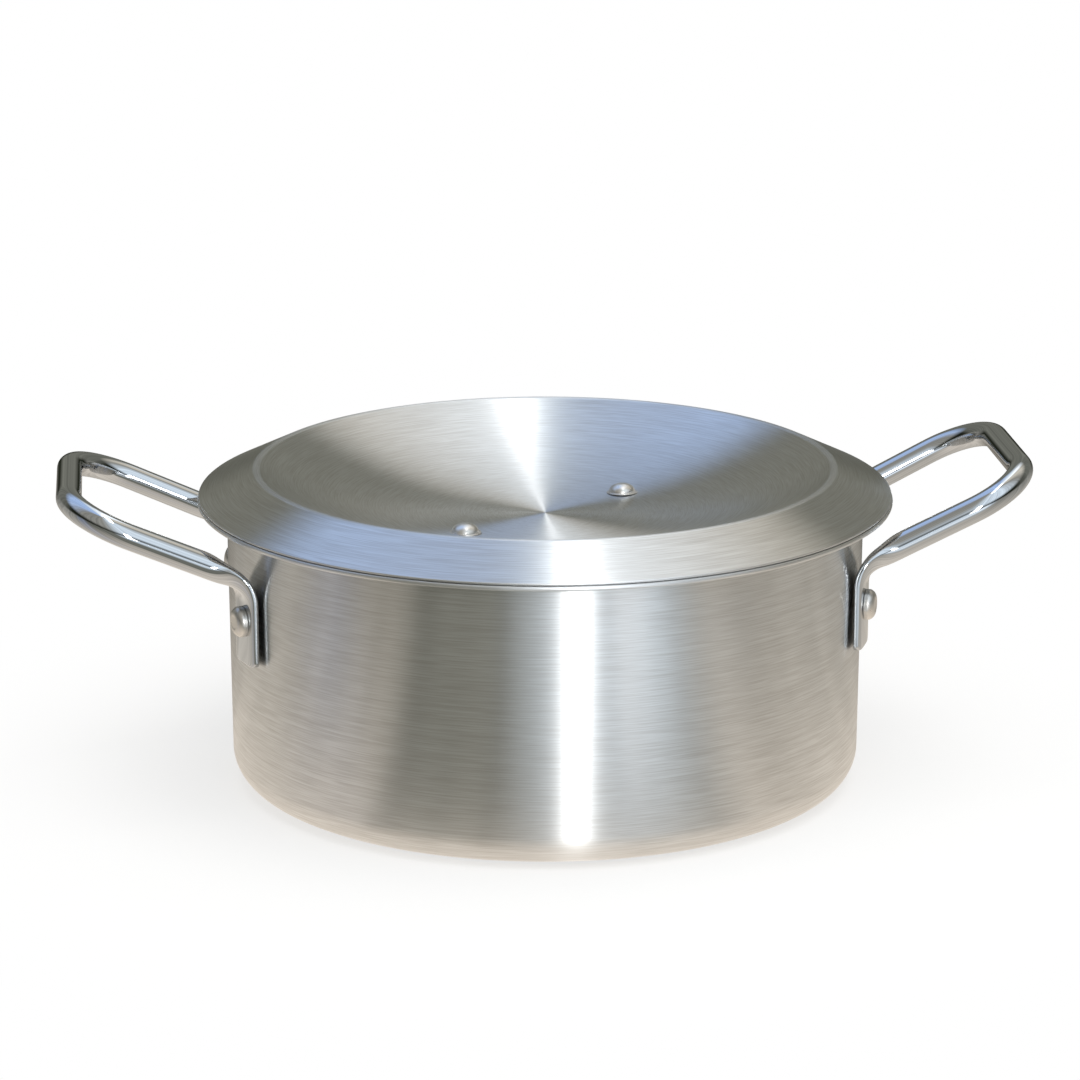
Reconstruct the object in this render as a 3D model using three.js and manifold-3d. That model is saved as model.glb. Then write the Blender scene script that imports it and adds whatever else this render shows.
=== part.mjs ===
// A spun aluminium cooking pot with two riveted tube handles.
// Its lid lies upside down on the rim, with the lid handle hanging inside the pot.
// The origin is the middle of the floor's underside, +Z is up and the handles lie along X.

import * as THREE from 'three';
import { mergeVertices } from 'three/addons/utils/BufferGeometryUtils.js';
import Module from 'manifold-3d';

// Sizes in millimetres, angles in degrees

// Clearances
const SEAT_GAP = 0.3;
const HOLE_CLEARANCE = 0.3;

// Pot
const POT_RADIUS = 140;
const POT_DRAFT = 1;
const POT_HEIGHT = 127;
const POT_SHEET = 2;
const POT_FLOOR = 3;
const FOOT_RADIUS = 14;
const RIM_OVERHANG = 12.7;
const RIM_BEND = 2;
const RIM_EDGE_ROUND = 0.6;

// Lid, as it lies: the resting edge, the crest above it and the dish inside the crest
const LID_SHEET = 1.2;
const LID_EDGE_INSET = 1.2;
const LID_CREST_INSET = 25.8;
const LID_CREST_RISE = 12.9;
const LID_CREST_ROUND = 4;
const LID_DISH_ANGLE = 27.5;
const LID_DISH_DEPTH = 22.3;
const LID_TURN = 39.5;

// Side handles
const TUBE_DIAMETER = 11.1;
const TUBE_WALL = 1.9;
const PRESSED_SEAM = 0.2;
// The reach is the bar's distance from the pot's axis before the loop is bent up by its tilt
const HANDLE_REACH = 214.8;
const HANDLE_STRAP_SPACING = 98.9;
const HANDLE_LOOP_WIDTH = 108;
const HANDLE_BEND_HEIGHT = 104.2;
const HANDLE_BEND_RADIUS = 14;
const HANDLE_CORNER_RADIUS = 27;
const HANDLE_TILT_LEFT = 23.3;
const HANDLE_TILT_RIGHT = 26.4;
const STRAP_LENGTH = 36.8;
const STRAP_WIDTH = 20.5;
const STRAP_CORNER_ROUND = 2.5;
const FLATTENING_PAST_BEND = 12;

// Lid handle
const LID_TUBE_DIAMETER = 10;
const LID_TUBE_WALL = 1.2;
const LID_RIVET_SPACING = 98;
const LID_FOOT_OVERHANG = 11;
const LID_FOOT_WIDTH = 15;
const LID_HANDLE_WIDTH = 66;
const LID_HANDLE_RISE = 42;
const LID_HANDLE_BEND_RADIUS = 8;
const LID_HANDLE_CORNER_RADIUS = 14;
const LID_FLATTENING_PAST_BEND = 5;

// Rivets
const RIVET_SHANK_RADIUS = 3.2;
const RIVET_BELOW_BEND = 18;
const RIVET_HEAD_RADIUS = 6.7;
const RIVET_HEAD_HEIGHT = 4.4;
const RIVET_HEAD_SIDE = 1.8;
const RIVET_FLAT_RADIUS = 4;
const RIVET_TAIL_RADIUS = 6;
const RIVET_TAIL_HEIGHT = 2;
const RIVET_TAIL_CROWN = 4.8;
const LID_RIVET_DOME_RADIUS = 6.2;
const LID_RIVET_DOME_HEIGHT = 4.2;

// Facets
const SHELL_SEGMENTS = 64;
const TUBE_SIDES = 20;
const RIVET_SEGMENTS = 16;
const PROFILE_STEPS = 2;
const DISH_STEPS = 6;
const CREST_STEPS = 5;
const DOME_STEPS = 4;
const BEND_STEPS = 6;
const FLATTENING_STEPS = 8;
const END_STEPS = 3;
const ROUND_EXPONENT = 2;
const FLAT_EXPONENT = 4;
const CREASE_EXPONENT = 0.65;

// Values that follow from the sizes
const RIM_UNDERSIDE = POT_HEIGHT - POT_SHEET;
const RIM_RADIUS = POT_RADIUS + RIM_OVERHANG;
const FOOT_CENTRE = POT_RADIUS - POT_DRAFT - FOOT_RADIUS;
const STRAP_THICKNESS = 2 * TUBE_WALL + PRESSED_SEAM;
const STRAP_FACE = wallRadius(HANDLE_BEND_HEIGHT) + SEAT_GAP;
const STRAP_ANGLE = Math.asin(HANDLE_STRAP_SPACING / 2 / (STRAP_FACE + STRAP_THICKNESS / 2));
const RIVET_HEIGHT = HANDLE_BEND_HEIGHT - RIVET_BELOW_BEND;
const LID_CREST_HEIGHT = POT_HEIGHT + LID_CREST_RISE;
const LID_DISH_FLOOR = LID_CREST_HEIGHT - LID_DISH_DEPTH;
const LID_FOOT_THICKNESS = 2 * LID_TUBE_WALL + PRESSED_SEAM;
const LID_FOOT_FACE = LID_DISH_FLOOR - LID_SHEET - SEAT_GAP;

const wasm = await Module();
wasm.setup();

// Outside radius of the pot's wall, which narrows a little towards the foot
function wallRadius(height) {
  const rise = (height - FOOT_RADIUS) / (RIM_UNDERSIDE - RIM_BEND - FOOT_RADIUS);
  return POT_RADIUS - POT_DRAFT * (1 - rise);
}

// A closed three.js geometry as a solid, with its faces turned outwards
function solidOf(geometry) {
  const plain = geometry.clone();
  plain.deleteAttribute('normal');
  plain.deleteAttribute('uv');
  const merged = mergeVertices(plain, 1e-4);
  const position = merged.attributes.position;
  const triangles = [];
  const corner = [new THREE.Vector3(), new THREE.Vector3(), new THREE.Vector3()];
  let volume = 0;
  for (let i = 0; i < merged.index.count; i += 3) {
    const face = [0, 1, 2].map((k) => merged.index.getX(i + k));
    if (new Set(face).size < 3) continue;
    face.forEach((vertex, k) => corner[k].fromBufferAttribute(position, vertex));
    volume += corner[0].dot(corner[1].clone().cross(corner[2]));
    triangles.push(face);
  }
  const outward = volume > 0 ? triangles : triangles.map(([a, b, c]) => [a, c, b]);
  return new wasm.Manifold(new wasm.Mesh({
    numProp: 3,
    vertProperties: Float32Array.from(position.array),
    triVerts: Uint32Array.from(outward.flat()),
  }));
}

// A finished solid as a named mesh
function meshOf(name, solid, material) {
  const { vertProperties, triVerts } = solid.getMesh();
  const geometry = new THREE.BufferGeometry();
  geometry.setAttribute('position', new THREE.BufferAttribute(vertProperties, 3));
  geometry.setIndex(new THREE.BufferAttribute(triVerts, 1));
  geometry.computeVertexNormals();
  const mesh = new THREE.Mesh(geometry, material.clone());
  mesh.name = name;
  return mesh;
}

// A profile of radius and height, turned about Z
function revolve(points, segments) {
  return new THREE.LatheGeometry(points, segments).rotateX(Math.PI / 2);
}

// The hole that a rivet's shank passes through, to the given depth on both sides of its seat
function shankHole(matrix, depth) {
  const radius = RIVET_SHANK_RADIUS + HOLE_CLEARANCE;
  const drill = new THREE.CylinderGeometry(radius, radius, 2 * depth, RIVET_SEGMENTS);
  return solidOf(drill.rotateX(Math.PI / 2).applyMatrix4(matrix));
}

// A frame at a point whose Z axis has the given direction
function seatMatrix(point, direction) {
  const turn = new THREE.Quaternion().setFromUnitVectors(new THREE.Vector3(0, 0, 1), direction);
  return new THREE.Matrix4().compose(point, turn, new THREE.Vector3(1, 1, 1));
}

// Pot

function potSolid() {
  const inside = FOOT_RADIUS - POT_SHEET;
  const bendCentre = POT_RADIUS + RIM_BEND;
  const edgeCentre = RIM_RADIUS - RIM_EDGE_ROUND;
  const quarter = Math.PI / 2;
  const profile = new THREE.Path();
  profile.moveTo(0, 0);
  profile.lineTo(FOOT_CENTRE, 0);
  profile.absarc(FOOT_CENTRE, FOOT_RADIUS, FOOT_RADIUS, -quarter, 0, false);
  profile.lineTo(POT_RADIUS, RIM_UNDERSIDE - RIM_BEND);
  profile.absarc(bendCentre, RIM_UNDERSIDE - RIM_BEND, RIM_BEND, Math.PI, quarter, true);
  profile.lineTo(edgeCentre, RIM_UNDERSIDE);
  profile.lineTo(RIM_RADIUS, RIM_UNDERSIDE + RIM_EDGE_ROUND);
  profile.lineTo(RIM_RADIUS, POT_HEIGHT - RIM_EDGE_ROUND);
  profile.lineTo(edgeCentre, POT_HEIGHT);
  profile.lineTo(bendCentre, POT_HEIGHT);
  profile.absarc(bendCentre, RIM_UNDERSIDE - RIM_BEND, RIM_BEND + POT_SHEET, quarter, Math.PI, false);
  profile.lineTo(FOOT_CENTRE + inside, POT_FLOOR + inside);
  profile.absarc(FOOT_CENTRE, POT_FLOOR + inside, inside, 0, -quarter, true);
  profile.lineTo(0, POT_FLOOR);
  return solidOf(revolve(profile.getPoints(PROFILE_STEPS), SHELL_SEGMENTS));
}

// Lid

// Upper face of the lid from its middle to its edge: a flat floor, a dish that steepens evenly,
// a rounded crest and a straight bevel down to the edge. Each point has its upward normal.
function lidUpperFace() {
  const crestRadius = RIM_RADIUS - LID_CREST_INSET;
  const crestCentre = LID_CREST_HEIGHT - LID_CREST_ROUND;
  const dishAngle = THREE.MathUtils.degToRad(LID_DISH_ANGLE);
  const edge = new THREE.Vector2(RIM_RADIUS - LID_EDGE_INSET, POT_HEIGHT + SEAT_GAP);
  const toEdge = edge.clone().sub(new THREE.Vector2(crestRadius, crestCentre));
  const bevelNormal = toEdge.angle() - 2 * Math.PI
    + Math.acos((LID_CREST_ROUND - LID_SHEET) / toEdge.length());
  const dishNormal = Math.PI / 2 + dishAngle;
  const dishTop = new THREE.Vector2(Math.cos(dishNormal), Math.sin(dishNormal))
    .multiplyScalar(LID_CREST_ROUND).add(new THREE.Vector2(crestRadius, crestCentre));
  const dishRun = 2 * (dishTop.y - LID_DISH_FLOOR) / Math.tan(dishAngle);
  const dishStart = dishTop.x - dishRun;
  const face = [{ point: new THREE.Vector2(0, LID_DISH_FLOOR), normal: new THREE.Vector2(0, 1) }];
  for (let i = 0; i < DISH_STEPS; i += 1) {
    const share = i / DISH_STEPS;
    const slope = Math.tan(dishAngle) * share;
    const height = LID_DISH_FLOOR + slope * share * dishRun / 2;
    face.push({
      point: new THREE.Vector2(dishStart + share * dishRun, height),
      normal: new THREE.Vector2(-slope, 1).normalize(),
    });
  }
  for (let i = 0; i <= CREST_STEPS; i += 1) {
    const angle = THREE.MathUtils.lerp(dishNormal, bevelNormal, i / CREST_STEPS);
    const normal = new THREE.Vector2(Math.cos(angle), Math.sin(angle));
    const point = normal.clone().multiplyScalar(LID_CREST_ROUND);
    face.push({ point: point.add(new THREE.Vector2(crestRadius, crestCentre)), normal });
  }
  const normal = face.at(-1).normal;
  face.push({ point: edge.addScaledVector(normal, LID_SHEET), normal });
  return face;
}

function lidSolid() {
  const face = lidUpperFace();
  const upper = face.map(({ point }) => point);
  const lower = face.map(({ point, normal }) => point.clone().addScaledVector(normal, -LID_SHEET));
  return solidOf(revolve([...lower, ...upper.reverse()], SHELL_SEGMENTS));
}

// Tube handles

// An arc that turns from one straight run to the next
class Bend extends THREE.Curve {
  constructor(corner, before, after, radius) {
    super();
    this.angle = before.angleTo(after);
    this.axis = before.clone().cross(after).normalize();
    this.setback = radius * Math.tan(this.angle / 2);
    this.start = corner.clone().addScaledVector(before, -this.setback);
    this.arm = before.clone().cross(this.axis).multiplyScalar(radius);
    this.centre = this.start.clone().sub(this.arm);
  }

  getPoint(t) {
    return this.arm.clone().applyAxisAngle(this.axis, this.angle * t).add(this.centre);
  }
}

// Centreline of half a handle: straight runs between the corners, joined by bends
function bentLine(corners, radii) {
  const line = new THREE.CurvePath();
  const heading = corners.slice(1).map((corner, i) => corner.clone().sub(corners[i]).normalize());
  let from = corners[0];
  radii.forEach((radius, i) => {
    const bend = new Bend(corners[i + 1], heading[i], heading[i + 1], radius);
    line.add(new THREE.LineCurve3(from, bend.start));
    line.add(bend);
    from = bend.getPoint(1);
  });
  line.add(new THREE.LineCurve3(from, corners.at(-1)));
  return line;
}

// Distances along half a handle at which its section is drawn
function sectionStations(line, flatLength, roundStart) {
  const lengths = line.getCurveLengths();
  const [cornerStart, cornerEnd, middle] = lengths.slice(2);
  const steps = (count, from, to) => {
    return Array.from({ length: count + 1 }, (_, i) => from + (to - from) * i / count);
  };
  return [
    ...steps(END_STEPS, 0, Math.PI / 2).map((angle) => STRAP_CORNER_ROUND * (1 - Math.cos(angle))),
    ...steps(FLATTENING_STEPS, flatLength, roundStart),
    ...steps(BEND_STEPS, cornerStart, cornerEnd),
    middle,
  ];
}

// Section of a tube that is pressed flat by a given share, as points across and through it.
// It is a superellipse: a circle along the tube and nearly a slot at the end. In between, its edges
// are pinched first, so that the front swells into an arrow-shaped crease. While the tube lies on
// its seat the back stays flat.
function tubeSection({ diameter, wall, pressedWidth, flat, onSeat, cornerCut }) {
  const { lerp, smoothstep } = THREE.MathUtils;
  const pressedHalf = wall + PRESSED_SEAM / 2;
  const halfWidth = lerp(diameter, pressedWidth, smoothstep(flat, 0, 0.8)) / 2 - cornerCut;
  const swell = (1 - flat) * (diameter / 2 - pressedHalf);
  const crease = 4 * CREASE_EXPONENT * flat * (1 - flat);
  const sides = [
    {
      depth: pressedHalf + swell * (1 + onSeat),
      power: lerp(ROUND_EXPONENT, FLAT_EXPONENT, flat ** 6) - crease,
    },
    {
      depth: pressedHalf + swell * (1 - onSeat),
      power: lerp(ROUND_EXPONENT, FLAT_EXPONENT, flat),
    },
  ];
  const bulge = (value, power) => Math.sign(value) * Math.abs(value) ** (2 / power);
  return Array.from({ length: TUBE_SIDES }, (_, i) => {
    const angle = 2 * Math.PI * i / TUBE_SIDES;
    const { depth, power } = i < TUBE_SIDES / 2 ? sides[0] : sides[1];
    return [halfWidth * bulge(Math.cos(angle), power), depth * bulge(Math.sin(angle), power)];
  });
}

// A tube bent along half a line and mirrored across Y, with both ends pressed flat
function tubeHandle({ corners, radii, faceNormal, diameter, wall, pressedWidth, flatLength, roundPast }) {
  const line = bentLine(corners, radii);
  const [seatEnd, bendEnd] = line.getCurveLengths();
  const roundStart = bendEnd + roundPast;
  const side = new THREE.Vector3();
  const front = faceNormal.clone();
  let lastHeading = null;
  const half = sectionStations(line, flatLength, roundStart).map((distance) => {
    const share = Math.min(distance / line.getLength(), 1);
    const centre = line.getPoint(share);
    const heading = line.getTangent(share);
    if (lastHeading) {
      front.applyQuaternion(new THREE.Quaternion().setFromUnitVectors(lastHeading, heading));
    }
    lastHeading = heading;
    front.addScaledVector(heading, -front.dot(heading)).normalize();
    side.crossVectors(front, heading);
    const cornerLeft = Math.max(STRAP_CORNER_ROUND - distance, 0);
    const section = tubeSection({
      diameter,
      wall,
      pressedWidth,
      flat: 1 - THREE.MathUtils.smoothstep(distance, flatLength, roundStart),
      onSeat: 1 - THREE.MathUtils.smoothstep(distance, seatEnd, roundStart),
      cornerCut: STRAP_CORNER_ROUND - Math.sqrt(STRAP_CORNER_ROUND ** 2 - cornerLeft ** 2),
    });
    return section.map(([across, through]) => {
      return centre.clone().addScaledVector(side, across).addScaledVector(front, through);
    });
  });
  const mirror = ({ x, y, z }) => new THREE.Vector3(x, -y, z);
  const otherHalf = half.slice(0, -1).reverse().map((ring) => ring.map(mirror));
  return solidOf(loft([...half, ...otherHalf]));
}

// A closed skin over rings of equal count, with a fan of triangles on each end
function loft(rings) {
  const sides = rings[0].length;
  const points = rings.flat();
  const index = [];
  for (let r = 0; r < rings.length - 1; r += 1) {
    for (let i = 0; i < sides; i += 1) {
      const a = r * sides + i;
      const b = r * sides + (i + 1) % sides;
      index.push(a, b, b + sides, a, b + sides, a + sides);
    }
  }
  const endRings = [0, rings.length - 1];
  endRings.forEach((r) => {
    const middle = rings[r].reduce((sum, point) => sum.add(point), new THREE.Vector3());
    const hub = points.push(middle.divideScalar(sides)) - 1;
    for (let i = 0; i < sides; i += 1) {
      const a = r * sides + i;
      const b = r * sides + (i + 1) % sides;
      index.push(...(r === 0 ? [hub, b, a] : [hub, a, b]));
    }
  });
  const geometry = new THREE.BufferGeometry().setFromPoints(points);
  geometry.setIndex(index);
  return geometry;
}

// Seat of a handle rivet on the wall: Z points outwards along the rivet
function handleRivetSeat(side) {
  const outward = new THREE.Vector3(Math.cos(STRAP_ANGLE), side * Math.sin(STRAP_ANGLE), 0);
  const point = outward.clone().multiplyScalar(STRAP_FACE);
  point.z = RIVET_HEIGHT;
  return seatMatrix(point, outward);
}

function sideHandleSolid(tilt) {
  const outward = new THREE.Vector3(Math.cos(STRAP_ANGLE), Math.sin(STRAP_ANGLE), 0);
  const strap = outward.clone().multiplyScalar(STRAP_FACE + STRAP_THICKNESS / 2);
  const bentUp = THREE.MathUtils.degToRad(tilt);
  const barReach = strap.x + (HANDLE_REACH - strap.x) * Math.cos(bentUp);
  const barHeight = HANDLE_BEND_HEIGHT + (HANDLE_REACH - strap.x) * Math.sin(bentUp);
  let handle = tubeHandle({
    corners: [
      new THREE.Vector3(strap.x, strap.y, HANDLE_BEND_HEIGHT - STRAP_LENGTH),
      new THREE.Vector3(strap.x, strap.y, HANDLE_BEND_HEIGHT),
      new THREE.Vector3(barReach, HANDLE_LOOP_WIDTH / 2, barHeight),
      new THREE.Vector3(barReach, 0, barHeight),
    ],
    radii: [HANDLE_BEND_RADIUS, HANDLE_CORNER_RADIUS],
    faceNormal: outward,
    diameter: TUBE_DIAMETER,
    wall: TUBE_WALL,
    pressedWidth: STRAP_WIDTH,
    flatLength: STRAP_LENGTH - RIVET_BELOW_BEND + RIVET_HEAD_RADIUS + SEAT_GAP,
    roundPast: FLATTENING_PAST_BEND,
  });
  [-1, 1].forEach((side) => {
    handle = handle.subtract(shankHole(handleRivetSeat(side), 2 * STRAP_THICKNESS));
  });
  return handle;
}

function lidHandleSolid() {
  const footHeight = LID_FOOT_FACE - LID_FOOT_THICKNESS / 2;
  const barHeight = footHeight - LID_HANDLE_RISE;
  let handle = tubeHandle({
    corners: [
      new THREE.Vector3(0, LID_RIVET_SPACING / 2 + LID_FOOT_OVERHANG, footHeight),
      new THREE.Vector3(0, LID_HANDLE_WIDTH / 2, footHeight),
      new THREE.Vector3(0, LID_HANDLE_WIDTH / 2, barHeight),
      new THREE.Vector3(0, 0, barHeight),
    ],
    radii: [LID_HANDLE_BEND_RADIUS, LID_HANDLE_CORNER_RADIUS],
    faceNormal: new THREE.Vector3(0, 0, -1),
    diameter: LID_TUBE_DIAMETER,
    wall: LID_TUBE_WALL,
    pressedWidth: LID_FOOT_WIDTH,
    flatLength: LID_FOOT_OVERHANG + RIVET_TAIL_RADIUS + SEAT_GAP,
    roundPast: LID_FLATTENING_PAST_BEND,
  });
  [-1, 1].forEach((side) => {
    handle = handle.subtract(shankHole(lidRivetSeat(side), 3 * LID_FOOT_THICKNESS));
  });
  return handle;
}

// Seat of a lid rivet, on the dish floor's upper face
function lidRivetSeat(side) {
  const point = new THREE.Vector3(0, side * LID_RIVET_SPACING / 2, LID_DISH_FLOOR);
  return seatMatrix(point, new THREE.Vector3(0, 0, 1));
}

// Rivets

// A rivet about Z: a domed tail below the joint, a shank and a head above it
function rivetSolid({ tailFace, headFace, headPoints }) {
  const profile = new THREE.Path();
  profile.moveTo(0, tailFace - RIVET_TAIL_HEIGHT);
  profile.quadraticCurveTo(
    RIVET_TAIL_CROWN, tailFace - RIVET_TAIL_HEIGHT,
    RIVET_TAIL_RADIUS, tailFace,
  );
  profile.lineTo(RIVET_SHANK_RADIUS, tailFace);
  profile.lineTo(RIVET_SHANK_RADIUS, headFace);
  headPoints.forEach(([radius, rise]) => profile.lineTo(radius, headFace + rise));
  return solidOf(revolve(profile.getPoints(PROFILE_STEPS), RIVET_SEGMENTS));
}

// Handle rivet: a flat-topped head on the strap and a low tail inside the pot
function handleRivetSolid() {
  const inside = POT_RADIUS - POT_SHEET;
  const hollow = inside - Math.sqrt(inside ** 2 - RIVET_TAIL_RADIUS ** 2);
  const wallInside = wallRadius(RIVET_HEIGHT) - POT_SHEET;
  const shoulder = (RIVET_HEAD_RADIUS + RIVET_FLAT_RADIUS) / 2;
  return rivetSolid({
    tailFace: wallInside - STRAP_FACE - hollow - SEAT_GAP,
    headFace: STRAP_THICKNESS + SEAT_GAP,
    headPoints: [
      [RIVET_HEAD_RADIUS, 0],
      [RIVET_HEAD_RADIUS, RIVET_HEAD_SIDE],
      [shoulder, (RIVET_HEAD_SIDE + 2 * RIVET_HEAD_HEIGHT) / 3],
      [RIVET_FLAT_RADIUS, RIVET_HEAD_HEIGHT],
      [0, RIVET_HEAD_HEIGHT],
    ],
  });
}

// Lid rivet: a tall dome in the dish and a low tail under the handle's foot
function lidRivetSolid() {
  const dome = Array.from({ length: DOME_STEPS + 1 }, (_, i) => {
    const angle = Math.PI / 2 * i / DOME_STEPS;
    return [LID_RIVET_DOME_RADIUS * Math.cos(angle), LID_RIVET_DOME_HEIGHT * Math.sin(angle)];
  });
  dome[DOME_STEPS][0] = 0;
  return rivetSolid({
    tailFace: LID_FOOT_FACE - LID_FOOT_THICKNESS - SEAT_GAP - LID_DISH_FLOOR,
    headFace: lidRiseAtRivet() + SEAT_GAP,
    headPoints: dome,
  });
}

// How far the dish rises above its flat floor at the outer side of a rivet's dome
function lidRiseAtRivet() {
  const reach = LID_RIVET_SPACING / 2 + LID_RIVET_DOME_RADIUS;
  const face = lidUpperFace().map(({ point }) => point);
  const next = face.findIndex((point) => point.x > reach);
  const share = (reach - face[next - 1].x) / (face[next].x - face[next - 1].x);
  return THREE.MathUtils.lerp(face[next - 1].y, face[next].y, share) - LID_DISH_FLOOR;
}

// Assembly

const spunAluminium = new THREE.MeshStandardMaterial({ color: 0xbfc1c2, roughness: 0.35, metalness: 1 });
const chromedTube = new THREE.MeshStandardMaterial({ color: 0xd4d6d8, roughness: 0.08, metalness: 1 });
const rivetAluminium = new THREE.MeshStandardMaterial({ color: 0xc9c7c2, roughness: 0.3, metalness: 1 });

function seated(mesh, matrix) {
  mesh.applyMatrix4(matrix);
  return mesh;
}

// One side handle with its two rivets, turned to its side of the pot
function handleGroup(name, tilt, turn, nearSide) {
  const group = new THREE.Group();
  group.add(meshOf(`handle_${name}`, sideHandleSolid(tilt), chromedTube));
  const places = [['near', nearSide], ['far', -nearSide]];
  places.forEach(([place, side]) => {
    const rivet = meshOf(`rivet_${name}_${place}`, handleRivetSolid(), rivetAluminium);
    group.add(seated(rivet, handleRivetSeat(side)));
  });
  group.rotation.z = turn;
  return group;
}

function potGroup() {
  const group = new THREE.Group();
  let pot = potSolid();
  [0, Math.PI].forEach((turn) => {
    const turned = new THREE.Matrix4().makeRotationZ(turn);
    [-1, 1].forEach((side) => {
      pot = pot.subtract(shankHole(handleRivetSeat(side).premultiply(turned), 4 * POT_SHEET));
    });
  });
  group.add(meshOf('pot_body', pot, spunAluminium));
  group.add(handleGroup('right', HANDLE_TILT_RIGHT, 0, -1));
  group.add(handleGroup('left', HANDLE_TILT_LEFT, Math.PI, 1));
  return group;
}

function lidGroup() {
  const group = new THREE.Group();
  let lid = lidSolid();
  [-1, 1].forEach((side) => {
    lid = lid.subtract(shankHole(lidRivetSeat(side), 4 * LID_SHEET));
  });
  group.add(meshOf('lid', lid, spunAluminium));
  group.add(meshOf('lid_handle', lidHandleSolid(), chromedTube));
  const places = [['front', -1], ['back', 1]];
  places.forEach(([place, side]) => {
    group.add(seated(meshOf(`lid_rivet_${place}`, lidRivetSolid(), rivetAluminium), lidRivetSeat(side)));
  });
  group.rotation.z = THREE.MathUtils.degToRad(LID_TURN - 90);
  return group;
}

const cookingPot = new THREE.Group();
cookingPot.add(potGroup(), lidGroup());

export default cookingPot;
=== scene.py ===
"""A spun aluminium cooking pot: its finished pieces, their materials and the studio they stand in.

Lengths are in metres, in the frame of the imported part: +Z is up, the handles lie along X and the
viewer stands towards -Y.
"""

import math

import bpy
from mathutils import Matrix, Quaternion, Vector


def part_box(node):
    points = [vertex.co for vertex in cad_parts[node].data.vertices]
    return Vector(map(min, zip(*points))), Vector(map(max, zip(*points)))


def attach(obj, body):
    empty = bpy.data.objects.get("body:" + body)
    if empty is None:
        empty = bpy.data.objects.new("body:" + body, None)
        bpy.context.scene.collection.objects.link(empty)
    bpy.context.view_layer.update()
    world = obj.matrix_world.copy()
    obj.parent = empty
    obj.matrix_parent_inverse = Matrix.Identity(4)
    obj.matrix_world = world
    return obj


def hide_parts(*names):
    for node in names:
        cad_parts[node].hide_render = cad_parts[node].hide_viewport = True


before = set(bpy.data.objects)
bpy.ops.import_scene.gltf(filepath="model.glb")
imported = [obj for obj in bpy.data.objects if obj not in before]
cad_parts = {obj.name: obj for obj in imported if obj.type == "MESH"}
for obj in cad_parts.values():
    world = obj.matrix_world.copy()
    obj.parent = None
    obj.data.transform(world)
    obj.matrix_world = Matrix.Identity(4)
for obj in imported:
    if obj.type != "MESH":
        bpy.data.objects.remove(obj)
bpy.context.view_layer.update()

POT_BODY, LID_BODY = "pot_assembly", "lid_assembly"

bl_info = {
    "name": "Spun aluminium cooking pot",
    "version": (1, 0, 0),
    "blender": (4, 5, 0),
    "location": "3D View > Sidebar > Cooking pot",
    "description": "Makes the pot, its lid, handles and rivets, and a white studio round them",
    "category": "Add Mesh",
}


# Settings


def linear(code):
    """An sRGB hex colour as linear red, green, blue and alpha."""
    channels = [int(code[i:i + 2], 16) / 255 for i in (1, 3, 5)]
    return tuple(c / 12.92 if c <= 0.04045 else ((c + 0.055) / 1.055) ** 2.4 for c in channels) + (1,)


def length(name, description, default):
    return bpy.props.FloatProperty(
        name=name, description=description, default=default, precision=5, unit="LENGTH", subtype="DISTANCE")


def angle(name, description, degrees):
    return bpy.props.FloatProperty(
        name=name, description=description, default=math.radians(degrees), unit="ROTATION", subtype="ANGLE")


def colour(name, description, code):
    return bpy.props.FloatVectorProperty(
        name=name, description=description, default=linear(code), size=4, min=0, max=1, subtype="COLOR")


def factor(name, description, default):
    return bpy.props.FloatProperty(
        name=name, description=description, default=default, min=0, max=1, subtype="FACTOR")


class PotSizes(bpy.types.PropertyGroup):
    height: length("Height", "Height of the rim's upper face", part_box("pot_body")[1].z)
    rim_radius: length("Rim radius", "Radius of the rim's edge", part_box("pot_body")[1].x)
    radius: length("Radius", "Outside radius of the wall just under the rim", 0.140)
    draft: length("Draft", "How much the wall narrows down to the foot", 0.001)
    sheet: length("Sheet", "Thickness of the wall and rim", 0.002)
    floor: length("Floor", "Thickness of the floor", 0.003)
    foot_radius: length("Foot radius", "Rounding between floor and wall", 0.014)
    rim_bend: length("Rim bend", "Inside radius of the bend from wall to rim", 0.002)
    rim_edge: length("Rim edge", "Rounding of the rim's edge", 0.0008)


class LidSizes(bpy.types.PropertyGroup):
    sheet: length("Sheet", "Thickness of the lid", 0.0012)
    edge_radius: length("Edge radius", "Radius of the edge that rests on the rim", 0.1515)
    seat_gap: length("Seat gap", "Gap left where pieces rest on each other", 0.0003)
    crest_radius: length("Crest radius", "Radius of the highest ring", 0.1269)
    crest_height: length("Crest height", "Height of the highest ring", 0.1399)
    crest_round: length("Crest round", "Rounding of the crest", 0.004)
    dish_floor: length("Dish floor", "Height of the flat middle of the dish", 0.1176)
    dish_angle: angle("Dish angle", "Slope of the dish where it meets the crest", 27.5)
    turn: angle("Turn", "Direction of the lid handle, from the line of the side handles", 39.5)


class SideHandleSizes(bpy.types.PropertyGroup):
    tube: length("Tube", "Diameter of the tube", 0.0111)
    wall: length("Tube wall", "Wall of the tube", 0.0019)
    reach: length("Reach", "Distance of the bar from the pot's axis before the loop is bent up", 0.2148)
    strap_spacing: length("Strap spacing", "Distance between the two pressed ends", 0.0989)
    loop_width: length("Loop width", "Distance between the loop's corners", 0.108)
    bend_height: length("Bend height", "Height of the bend above the pressed end", 0.1042)
    bend_radius: length("Bend radius", "Radius of that bend", 0.014)
    corner_radius: length("Corner radius", "Radius of the loop's corners", 0.027)
    tilt_left: angle("Left tilt", "Upward tilt of the left loop", 23.3)
    tilt_right: angle("Right tilt", "Upward tilt of the right loop", 26.4)
    strap_length: length("Strap length", "Length of the pressed end below the bend", 0.0368)
    strap_width: length("Strap width", "Width of the pressed end", 0.0205)
    strap_corner: length("Strap corner", "Rounding of the pressed end's corners", 0.0025)
    flattening: length("Flattening", "How far the flattening runs past the bend", 0.012)


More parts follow.
